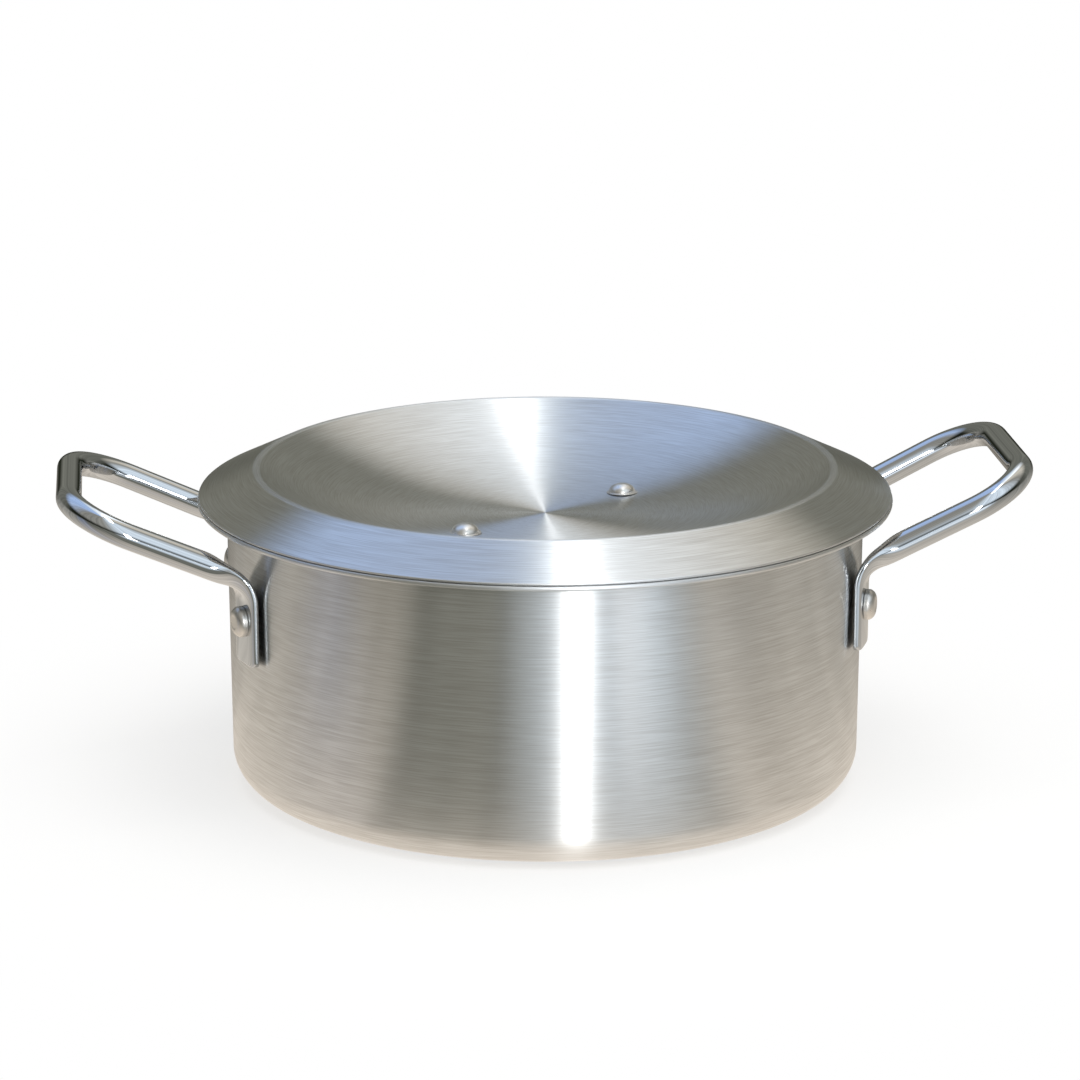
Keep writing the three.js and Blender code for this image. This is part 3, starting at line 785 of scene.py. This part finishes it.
def rivet_tree(name, head, tail, material):
    """A node tree that sets a rivet on every point of a mesh, along the point's outward direction."""
    tree = bpy.data.node_groups.new(name, "GeometryNodeTree")
    sockets = tree.interface
    sockets.new_socket("Geometry", in_out="OUTPUT", socket_type="NodeSocketGeometry")
    sockets.new_socket("Seats", in_out="INPUT", socket_type="NodeSocketGeometry")
    for label in ("Head radius", "Head height", "Tail radius", "Tail height", "Grip", "Uneven turn"):
        sockets.new_socket(label, in_out="INPUT", socket_type="NodeSocketFloat")
    given = add(tree, "NodeGroupInput").outputs
    outward = add(tree, "GeometryNodeInputNamedAttribute", {"Name": "outward"}, data_type="FLOAT_VECTOR")
    inward = add(tree, "ShaderNodeVectorMath", {0: outward, "Scale": -1.0}, operation="SCALE")
    spin = add(tree, "FunctionNodeRandomValue", {
        "Min": 0.0, "Max": 2 * math.pi, "Seed": SPIN_SEED}, data_type="FLOAT")
    about = add(tree, "FunctionNodeAxisAngleToRotation", {"Axis": (0, 0, 1), "Angle": spin})
    lean = add(tree, "FunctionNodeRandomValue", {"Seed": LEAN_SEED}, data_type="FLOAT_VECTOR")
    centred = add(tree, "ShaderNodeVectorMath", {0: lean, 1: (0.5, 0.5, 0.5)}, operation="SUBTRACT")
    uneven = add(tree, "ShaderNodeVectorMath", {0: centred, "Scale": given["Uneven turn"]}, operation="SCALE")
    leaning = add(tree, "ShaderNodeVectorMath", {0: outward, 1: uneven}, operation="ADD")
    drop = add(tree, "ShaderNodeVectorMath", {0: inward, "Scale": given["Grip"]}, operation="SCALE")
    tail_seats = add(tree, "GeometryNodeSetPosition", {"Geometry": given["Seats"], "Offset": drop})
    both = add(tree, "GeometryNodeJoinGeometry")
    for end, profile, seats, facing in (
            ("Head", head, given["Seats"], leaning), ("Tail", tail, tail_seats, inward)):
        turned = add(tree, "FunctionNodeAlignRotationToVector", {"Vector": facing}, axis="Z")
        rotation = add(tree, "FunctionNodeRotateRotation", {
            "Rotation": turned, "Rotate By": about}, rotation_space="LOCAL")
        shape = rivet_end(tree, profile, given[f"{end} radius"], given[f"{end} height"])
        placed = add(tree, "GeometryNodeInstanceOnPoints", {
            "Points": seats, "Instance": shape, "Rotation": rotation})
        tree.links.new(placed.outputs[0], both.inputs[0])
    real = add(tree, "GeometryNodeRealizeInstances", {"Geometry": both})
    painted = add(tree, "GeometryNodeSetMaterial", {"Geometry": real, "Material": material})
    add(tree, "NodeGroupOutput", {"Geometry": painted})
    return tree


def rivet_piece(name, seats, tree, sizes, body, nodes):
    """Rivets on their seats, each a point and an outward direction, as one plain mesh."""
    base = new_mesh(name + "_seats", [point for point, outward in seats])
    directions = base.attributes.new("outward", "FLOAT_VECTOR", "POINT")
    directions.data.foreach_set("vector", [value for point, outward in seats for value in outward])
    holder = new_object(base)
    modifier = holder.modifiers.new("rivets", "NODES")
    modifier.node_group = tree
    for item in tree.interface.items_tree:
        if item.in_out == "INPUT" and item.name in sizes:
            modifier[item.identifier] = sizes[item.name]
    depsgraph = bpy.context.evaluated_depsgraph_get()
    mesh = bpy.data.meshes.new_from_object(holder.evaluated_get(depsgraph))
    mesh.name = name
    bpy.data.objects.remove(holder)
    link_piece(mesh, body, nodes, "rivet_aluminium")


def dome(count, power=1.0):
    """Radius and height shares of a dome, from its top to its edge."""
    return [(math.sin(a), math.cos(a) ** power) for a in between(count, 0, math.pi / 2)]


# Radius and height shares of a handle rivet's head: a flat top with a shallow ring in it, rounded shoulders,
# a short side and an underside
HANDLE_RIVET_HEAD = [
    (0, 0.96), (0.2, 0.96), (0.36, 0.96), (0.41, 0.97), (0.47, 1.0), (0.54, 1.0), (0.62, 0.98), (0.7, 0.93),
    (0.78, 0.86), (0.86, 0.76), (0.93, 0.63), (0.98, 0.5), (1, 0.36), (1, 0.06), (0.98, 0), (0.6, 0), (0, 0),
]
RIVET_TAIL = dome(count=12, power=0.7) + [(0.98, 0), (0, 0)]
# A lid rivet's dome stands on the thin collar that the snap tool squeezed out.
DOME_WIDTH_SHARE, DOME_BASE_SHARE = 0.86, 0.12
LID_RIVET_HEAD = [
    (DOME_WIDTH_SHARE * across, lerp(DOME_BASE_SHARE, 1, up)) for across, up in dome(count=14)]
LID_RIVET_HEAD += [(0.9, 0.1), (0.98, 0.08), (1, 0.05), (1, 0), (0, 0)]


class COOKINGPOT_OT_handle_rivets(bpy.types.Operator):
    """Set the four handle rivets through the straps and the wall"""

    bl_idname = "cooking_pot.handle_rivets"
    bl_label = "Handle rivets"

    def execute(self, context):
        settings = context.scene.cooking_pot
        handle, rivet, pot = settings.side_handle, settings.rivet, settings.pot
        turn, back = strap_place(settings)
        front = back + 2 * handle.wall + SLIT
        seats = []
        for direction in (turn, -turn, math.pi + turn, math.pi - turn):
            outward = Vector((math.cos(direction), math.sin(direction), 0))
            seats.append((outward * front + Vector((0, 0, handle.bend_height - rivet.below_bend)), outward))
        tree = rivet_tree(
            "Handle rivets", HANDLE_RIVET_HEAD, RIVET_TAIL, finish_for("rivet_aluminium", settings))
        sizes = {
            "Head radius": rivet.head_radius, "Head height": rivet.head_height,
            "Tail radius": rivet.tail_radius, "Tail height": rivet.tail_height,
            "Grip": front - (pot.radius - pot.sheet - TAIL_SINK), "Uneven turn": HANDLE_RIVET_LEAN}
        nodes = ["rivet_left_near", "rivet_left_far", "rivet_right_near", "rivet_right_far"]
        rivet_piece("handle_rivets", seats, tree, sizes, POT_BODY, nodes)
        return {"FINISHED"}


class COOKINGPOT_OT_lid_rivets(bpy.types.Operator):
    """Set the two rivets that hold the lid's handle"""

    bl_idname = "cooking_pot.lid_rivets"
    bl_label = "Lid rivets"

    def execute(self, context):
        settings = context.scene.cooking_pot
        lid, handle, rivet = settings.lid, settings.lid_handle, settings.rivet
        line = Vector((math.cos(lid.turn), math.sin(lid.turn), 0)) * rivet.lid_spacing / 2
        up = Vector((0, 0, 1))
        seats = [(up * (lid.dish_floor + DOME_LIFT) + line * side, up) for side in (-1, 1)]
        tree = rivet_tree("Lid rivets", LID_RIVET_HEAD, RIVET_TAIL, finish_for("rivet_aluminium", settings))
        grip = DOME_LIFT + lid.sheet + lid.seat_gap + 2 * handle.wall + SLIT
        sizes = {
            "Head radius": rivet.dome_radius * COLLAR_SHARE, "Head height": rivet.dome_height,
            "Tail radius": rivet.tail_radius, "Tail height": rivet.tail_height,
            "Grip": grip, "Uneven turn": LID_RIVET_LEAN}
        rivet_piece("lid_rivets", seats, tree, sizes, LID_BODY, ["lid_rivet_front", "lid_rivet_back"])
        return {"FINISHED"}


# Stage

SENSOR_MM = 36
CLIP_END = 50
FLOOR_HALF = 12
FLOOR_DROP = 0.0005  # keeps the floor clear of the pot's underside
WHITE_FROM, WHITE_TO = 0.15, 0.34  # distances over which the floor turns to the backdrop's white
WHITE_LEAST = 0.6
AMBIENT = 0.7  # strength of the world where it isn't seen
SURROUND_RADIUS = 6.0
SURROUND_MIDDLE = 0.065  # height of the point from which directions are taken
SURROUND_ROWS, SURROUND_COLUMNS = 24, 64
SURROUND_TOP = 0.005  # angle of the small hole at the top
GROUND_HEIGHT = 0.0003
GROUND_RINGS = (5.99, 2.0, 0.6, 0.2, 0.15, 0.129)
SKYLINE_TILT = 0.25  # how much lower the sky begins in front than at the sides
UNEVENNESS = 0.25  # of the surround's brightness from side to side
# Panels of the surround, each at its degrees to the right of the viewer
HORIZON_PANELS = (
    (-179, "flag"), (-120, "flag"), (-90, "trees"), (80, "trees"), (120, "flag"), (179, "flag"),
)
SKY_PANELS = (
    (-179, "haze"), (-170, "sky"), (-120, "sky"), (-70, "wall"), (-20, "wall"), (10, "haze"), (50, "haze"),
    (100, "wall"), (130, "warm"), (149, "warm"), (158, "cloud"), (170, "cloud"), (179, "haze"),
)
FIELD_PANELS = (
    (-179, "trees"), (-155, "trees"), (-125, "wall"), (-84, "wall"), (-77, "dusk"), (-67, "dusk"),
    (-60, "flag"), (-14, "flag"), (8, "haze"), (17, "haze"), (25, "cloud"), (34, "haze"), (48, "wall"),
    (125, "wall"), (155, "trees"), (179, "trees"),
)
GROUND_PANELS = (
    (-179, "ground"), (-46, "ground"), (-36, "flag"), (-10, "flag"), (6, "wall"), (38, "wall"),
    (50, "ground"), (179, "ground"),
)
NEAR_PANELS = ((-179, "ground"), (179, "ground"))
LAMP_DISTANCE = 2.6
# Name, watts, width, height, degrees to the right of the viewer, degrees of rise, and whether the lamp is for
# the metal's highlights or for the floor. The strips give the streak on the wall and the bow tie on the lid.
LAMPS = (
    ("wall_strip", 17, 0.34, 0.9, 10.75, 14, True),
    ("lid_strip", 4.5, 1.2, 0.2, 90, 84.8, True),
    ("soft_lamp", 42, 2.4, 2.4, 30, 70, False),
)


def stage_object(name, points, faces, material):
    """A part of the studio, which isn't part of the pot."""
    mesh = new_mesh(name, points, faces)
    mesh.materials.append(material)
    obj = new_object(mesh)
    return obj


def seen_directly(tree):
    """1 for rays from the camera, off a glossy surface or through a clear one, and 0 for the rest."""
    path = add(tree, "ShaderNodeLightPath").outputs
    seen = path["Is Camera Ray"]
    for ray in ("Is Glossy Ray", "Is Transmission Ray"):
        seen = add(tree, "ShaderNodeMath", {0: seen, 1: path[ray]}, operation="MAXIMUM")
    return seen


def floor_material():
    """Pale paper floor. Seen directly, it turns to the white of the backdrop away from the pot, and near the
    pot it keeps the soft shadow."""
    material, tree = new_material("paper_floor_white")
    place = add(tree, "ShaderNodeTexCoord").outputs["Object"]
    away = add(tree, "ShaderNodeVectorMath", {0: place}, operation="LENGTH")
    white = add(tree, "ShaderNodeMapRange", {
        "Value": away, "From Min": WHITE_FROM, "From Max": WHITE_TO, "To Min": WHITE_LEAST, "To Max": 1.0},
        interpolation_type="SMOOTHSTEP")
    share = add(tree, "ShaderNodeMath", {0: seen_directly(tree), 1: white}, operation="MULTIPLY")
    paper = add(tree, "ShaderNodeBsdfDiffuse", {"Color": linear("#F4F4F2")})
    backdrop = add(tree, "ShaderNodeEmission", {"Color": (1, 1, 1, 1), "Strength": 1.0})
    surface(tree, add(tree, "ShaderNodeMixShader", {0: share, 1: paper, 2: backdrop}))
    return material


def panel_ramp(tree, share, panels, studio):
    """Colours of a row of panels. The share goes once round the surround."""
    ramp = add(tree, "ShaderNodeValToRGB", {"Fac": share})
    elements = ramp.color_ramp.elements
    for degrees, name in panels:
        elements.new(degrees / 360 + 0.5).color = getattr(studio, name)
    elements.remove(elements[0])
    elements.remove(elements[-1])
    return ramp


def surround_material(studio):
    """Soft surround that only the metal sees: sky above, dark panels along the horizon, warm and pale panels
    just below it, and pale ground at the foot of the pot."""
    material, tree = new_material("soft_surround")
    place = add(tree, "ShaderNodeTexCoord").outputs["Object"]
    turned = add(tree, "ShaderNodeVectorRotate", {
        "Vector": place, "Center": (0, 0, 0), "Angle": -studio.azimuth}, rotation_type="Z_AXIS")
    offset = add(tree, "ShaderNodeVectorMath", {0: turned, 1: (0, 0, SURROUND_MIDDLE)}, operation="SUBTRACT")
    direction = add(tree, "ShaderNodeVectorMath", {0: offset}, operation="NORMALIZE")
    split = add(tree, "ShaderNodeSeparateXYZ", {0: direction}).outputs
    front = add(tree, "ShaderNodeMath", {0: split["Y"], 1: -1.0}, operation="MULTIPLY")
    turn = add(tree, "ShaderNodeMath", {0: split["X"], 1: front}, operation="ARCTAN2")
    share = add(tree, "ShaderNodeMapRange", {"Value": turn, "From Min": -math.pi, "From Max": math.pi})
    skyline = add(tree, "ShaderNodeMath", {
        0: front, 1: SKYLINE_TILT, 2: split["Z"]}, operation="MULTIPLY_ADD")
    colour = panel_ramp(tree, share, HORIZON_PANELS, studio)
    # Heights are sines of the angle above the horizon, and each row fades in from the first to the second.
    for height, start, end, panels in (
            (skyline, 0.38, 0.6, SKY_PANELS), (split["Z"], 0.16, 0.0, FIELD_PANELS),
            (split["Z"], -0.06, -0.35, GROUND_PANELS), (split["Z"], -0.33, -0.41, NEAR_PANELS)):
        amount = add(tree, "ShaderNodeMapRange", {"Value": height, "From Min": start, "From Max": end})
        colour = add(tree, "ShaderNodeMix", {
            "Factor": amount, "A": colour, "B": panel_ramp(tree, share, panels, studio)}, data_type="RGBA")
    level = add(tree, "ShaderNodeVectorMath", {0: direction, 1: (1, 1, 0)}, operation="MULTIPLY")
    around = add(tree, "ShaderNodeVectorMath", {0: level}, operation="NORMALIZE")
    noise = add(tree, "ShaderNodeTexNoise", {"Vector": around, "Scale": 13.0, "Detail": 3.0})
    uneven = add(tree, "ShaderNodeMapRange", {
        "Value": noise, **NOISE_RANGE,
        "To Min": studio.surround * (1 - UNEVENNESS), "To Max": studio.surround * (1 + UNEVENNESS)})
    # The ground at the foot, which is the last row, is even.
    strength = add(tree, "ShaderNodeMix", {"Factor": amount, "A": uneven, "B": studio.surround})
    surface(tree, add(tree, "ShaderNodeEmission", {"Color": colour, "Strength": strength}))
    return material


def place_camera(scene, studio):
    camera = bpy.data.cameras.new("photo_camera")
    camera.sensor_width = SENSOR_MM
    camera.lens = studio.focal
    camera.clip_end = CLIP_END
    viewer = new_object(camera)
    flat = studio.distance * math.cos(studio.elevation)
    viewer.location = (
        flat * math.sin(studio.azimuth), -flat * math.cos(studio.azimuth),
        studio.target_height + studio.distance * math.sin(studio.elevation))
    viewer.rotation_euler = (math.pi / 2 - studio.pitch, 0, studio.heading)
    scene.camera = viewer


def lay_floor():
    points = [(x * FLOOR_HALF, y * FLOOR_HALF, -FLOOR_DROP) for x, y in ((-1, -1), (1, -1), (1, 1), (-1, 1))]
    stage_object("floor", points, [(0, 1, 2, 3)], floor_material())


def raise_surround(studio):
    """A dome over the pot and the ground inside it."""
    rings = [
        (SURROUND_RADIUS * math.sin(a), SURROUND_RADIUS * math.cos(a))
        for a in between(SURROUND_ROWS, SURROUND_TOP, math.pi / 2)]
    rings += [(radius, GROUND_HEIGHT) for radius in GROUND_RINGS]
    points = [point for radius, height in rings for point in ring(radius, height, SURROUND_COLUMNS)]
    faces = bands(len(rings), SURROUND_COLUMNS)
    surround = stage_object("surround", points, faces, surround_material(studio))
    for rays in ("camera", "diffuse", "shadow", "transmission"):
        setattr(surround, f"visible_{rays}", False)


def hang_lamps(studio):
    for name, watts, width, height, side, rise, on_metal in LAMPS:
        lamp = bpy.data.lights.new(name, "AREA")
        lamp.energy = watts
        lamp.shape = "RECTANGLE"
        lamp.size = width
        lamp.size_y = height
        holder = new_object(lamp)
        direction = Vector((0, -math.cos(math.radians(rise)), math.sin(math.radians(rise))))
        direction.rotate(Matrix.Rotation(studio.azimuth + math.radians(side), 3, "Z"))
        holder.location = direction * LAMP_DISTANCE
        holder.rotation_euler = (-direction).to_track_quat("-Z", "Y").to_euler()
        holder.visible_camera = False
        holder.visible_glossy = on_metal
        holder.visible_diffuse = not on_metal


def white_world(scene):
    """White where it is seen directly, and dimmer as light."""
    world = bpy.data.worlds.new("white_studio")
    scene.world = world
    world.use_nodes = True
    tree = world.node_tree
    tree.nodes.clear()
    strength = add(tree, "ShaderNodeMapRange", {
        "Value": seen_directly(tree), "To Min": AMBIENT, "To Max": 1.0})
    back = add(tree, "ShaderNodeBackground", {"Color": (1, 1, 1, 1), "Strength": strength})
    add(tree, "ShaderNodeOutputWorld", {"Surface": back})


class COOKINGPOT_OT_studio(bpy.types.Operator):
    """Set up the camera, the pale floor, the soft surround and the lamps"""

    bl_idname = "cooking_pot.studio"
    bl_label = "Studio"

    def execute(self, context):
        scene = context.scene
        studio = scene.cooking_pot.studio
        place_camera(scene, studio)
        lay_floor()
        raise_surround(studio)
        hang_lamps(studio)
        white_world(scene)
        scene.view_settings.view_transform = "Standard"
        return {"FINISHED"}


class COOKINGPOT_PT_panel(bpy.types.Panel):
    """The pot's pieces and its studio"""

    bl_idname = "COOKINGPOT_PT_panel"
    bl_label = "Cooking pot"
    bl_space_type = "VIEW_3D"
    bl_region_type = "UI"
    bl_category = "Cooking pot"

    def draw(self, context):
        settings = context.scene.cooking_pot
        for operator in OPERATORS:
            self.layout.operator(operator.bl_idname)
        for group in ("pot", "lid", "side_handle", "lid_handle", "rivet", "finish", "studio"):
            box = self.layout.box()
            box.label(text=group.replace("_", " ").capitalize())
            sizes = getattr(settings, group)
            for name in sizes.__annotations__:
                box.prop(sizes, name)


OPERATORS = (
    COOKINGPOT_OT_body,
    COOKINGPOT_OT_lid,
    COOKINGPOT_OT_side_handles,
    COOKINGPOT_OT_lid_handle,
    COOKINGPOT_OT_handle_rivets,
    COOKINGPOT_OT_lid_rivets,
    COOKINGPOT_OT_studio,
)
CLASSES = (
    PotSizes,
    LidSizes,
    SideHandleSizes,
    LidHandleSizes,
    RivetSizes,
    Finishes,
    StudioSettings,
    CookingPotSettings,
    *OPERATORS,
    COOKINGPOT_PT_panel,
)


def register():
    for cls in CLASSES:
        bpy.utils.register_class(cls)
    bpy.types.Scene.cooking_pot = bpy.props.PointerProperty(type=CookingPotSettings)


def unregister():
    del bpy.types.Scene.cooking_pot
    for cls in reversed(CLASSES):
        bpy.utils.unregister_class(cls)


def main():
    register()
    bpy.ops.cooking_pot.body()
    bpy.ops.cooking_pot.lid()
    bpy.ops.cooking_pot.side_handles()
    bpy.ops.cooking_pot.lid_handle()
    bpy.ops.cooking_pot.handle_rivets()
    bpy.ops.cooking_pot.lid_rivets()
    bpy.ops.cooking_pot.studio()


if __name__ == "__main__":
    main()
